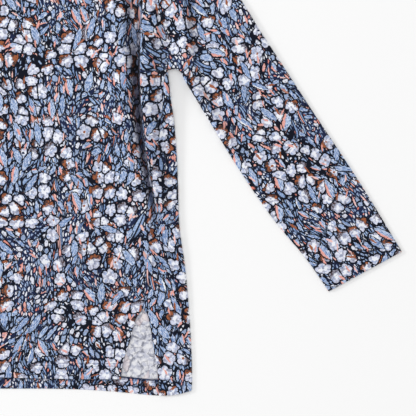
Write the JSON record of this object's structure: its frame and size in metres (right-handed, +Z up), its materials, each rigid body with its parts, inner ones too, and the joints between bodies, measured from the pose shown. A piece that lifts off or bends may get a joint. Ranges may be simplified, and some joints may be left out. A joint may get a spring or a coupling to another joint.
{
  "type": "tunic top",
  "caption": "Long-sleeved knit tunic top with a round neck, side slits and an all-over pebble and leaf print, laid flat.",
  "frame": {"origin": "on the surface the tunic lies on, under the middle of its bounding box", "axes": "+X towards the wearer's left sleeve, +Y towards the neck, +Z up out of the front of the garment"},
  "size_m": [1.3262, 0.7759, 0.0077],
  "materials": {
    "body_cloth": "matt printed jersey, pale wrong side",
    "sleeve_cloth": "matt printed jersey, print run down the sleeve"
  },
  "bodies": {
    "root": {"front": "body_cloth", "back": "body_cloth", "sleeve_left": "sleeve_cloth", "sleeve_right": "sleeve_cloth"}
  },
  "joints": []
}
